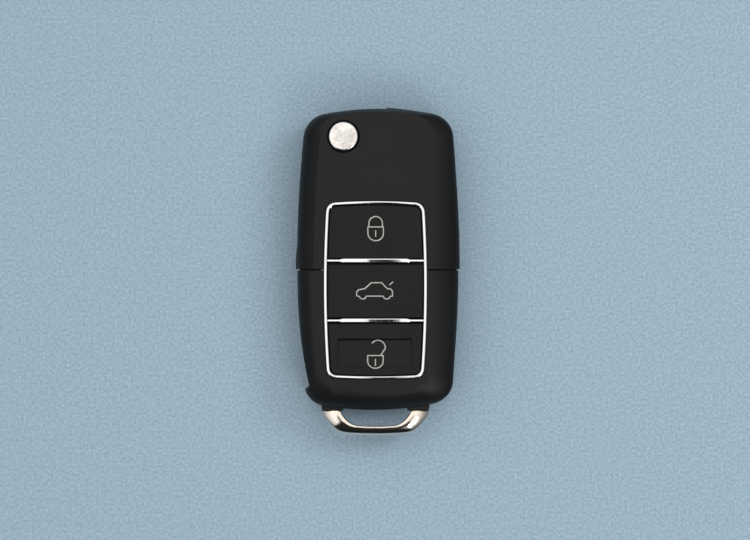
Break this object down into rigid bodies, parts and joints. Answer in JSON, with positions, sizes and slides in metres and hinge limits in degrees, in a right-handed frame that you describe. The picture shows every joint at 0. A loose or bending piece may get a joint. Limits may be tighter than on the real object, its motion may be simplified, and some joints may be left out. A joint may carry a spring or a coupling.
{
  "type": "flip key fob",
  "caption": "Folding car key fob: a blade that flips out of the head, a slide-off remote half with three keys in a chrome frame, and a rigid key-ring loop.",
  "frame": {"origin": "centre of the outline on the flat back that the fob rests on, at the joint between head and remote", "axes": "+Y towards the end with the blade's pivot, +Z out of the button face, +X to the right when the buttons are read"},
  "size_m": [0.0362, 0.0723, 0.016],
  "materials": {
    "shell_plastic": "fine matte moulded ABS",
    "key_plastic": "hard matte key caps",
    "bezel_chrome": "bright plated frame",
    "button_chrome": "bright plated push button",
    "loop_chrome": "bright plated casting",
    "hub_zinc": "dark plated zinc casting",
    "blade_steel": "nickel-plated steel",
    "spring_steel": "drawn spring wire",
    "pin_steel": "ground pin",
    "screw_steel": "black oxide screw",
    "membrane_rubber": "moulded silicone",
    "board_laminate": "solder-masked glass laminate",
    "chip_resin": "black moulding resin",
    "switch_plastic": "moulded switch bodies",
    "plunger_plastic": "natural nylon plungers",
    "crystal_can": "nickel-plated can",
    "contact_nickel": "nickel-plated sprung leaf",
    "cell_can": "nickel-plated steel can",
    "transponder_glass_resin": "black resin block"
  },
  "bodies": {
    "head": {"head_front_cover": "shell_plastic", "head_back_cover": "shell_plastic", "hinge_cap": "shell_plastic", "head_screw": "screw_steel", "transponder_chip": "transponder_glass_resin"},
    "blade": {"blade_hub": "hub_zinc", "key_blade": "blade_steel", "blade_roll_pin": "pin_steel", "flip_spring": "spring_steel"},
    "release_button": {"release_button": "button_chrome"},
    "remote": {"remote_front_cover": "shell_plastic", "remote_back_cover": "shell_plastic", "button_bezel": "bezel_chrome", "button_membrane": "membrane_rubber", "circuit_board": "board_laminate", "switch_housings": "switch_plastic", "microcontroller": "chip_resin", "radio_chip": "chip_resin", "quartz_crystal": "crystal_can", "battery_contact_positive": "contact_nickel", "battery_contact_negative": "contact_nickel", "coin_cell": "cell_can", "key_ring_loop": "loop_chrome"},
    "lock_button": {"lock_button": "key_plastic"},
    "lock_switch_plunger": {"lock_switch_plunger": "plunger_plastic"},
    "boot_button": {"boot_button": "key_plastic"},
    "boot_switch_plunger": {"boot_switch_plunger": "plunger_plastic"},
    "unlock_button": {"unlock_button": "key_plastic"},
    "unlock_switch_plunger": {"unlock_switch_plunger": "plunger_plastic"}
  },
  "joints": [
    {"name": "blade_flip", "type": "hinge", "parent": "head", "child": "blade", "pos_m": [-0.0075, 0.0292, 0.0075], "axis": [0, 0, -1], "range_deg": [0, 180], "deforming": ["flip_spring"]},
    {"name": "release_press", "type": "slide", "parent": "blade", "child": "release_button", "axis": [0, 0, -1], "range_m": [0, 0.0015], "stiffness_N_per_m": 600, "springref_m": -0.001, "deforming": ["flip_spring"]},
    {"name": "remote_slide_off", "type": "slide", "parent": "head", "child": "remote", "axis": [0, -1, 0], "range_m": [0, 0.021]},
    {"name": "lock_press", "type": "slide", "parent": "remote", "child": "lock_button", "axis": [0, 0, -1], "range_m": [0, 0.00035], "stiffness_N_per_m": 300, "springref_m": -0.001, "deforming": ["button_membrane"]},
    {"name": "lock_switch_press", "type": "slide", "parent": "remote", "child": "lock_switch_plunger", "axis": [0, 0, -1], "range_m": [0, 0.00035]},
    {"name": "boot_press", "type": "slide", "parent": "remote", "child": "boot_button", "axis": [0, 0, -1], "range_m": [0, 0.00035], "stiffness_N_per_m": 300, "springref_m": -0.001, "deforming": ["button_membrane"]},
    {"name": "boot_switch_press", "type": "slide", "parent": "remote", "child": "boot_switch_plunger", "axis": [0, 0, -1], "range_m": [0, 0.00035]},
    {"name": "unlock_press", "type": "slide", "parent": "remote", "child": "unlock_button", "axis": [0, 0, -1], "range_m": [0, 0.00035], "stiffness_N_per_m": 300, "springref_m": -0.001, "deforming": ["button_membrane"]},
    {"name": "unlock_switch_press", "type": "slide", "parent": "remote", "child": "unlock_switch_plunger", "axis": [0, 0, -1], "range_m": [0, 0.00035]}
  ],
  "couplings": [
    {"joint": "lock_switch_press", "follows": "lock_press", "ratio": 1},
    {"joint": "boot_switch_press", "follows": "boot_press", "ratio": 1},
    {"joint": "unlock_switch_press", "follows": "unlock_press", "ratio": 1}
  ]
}
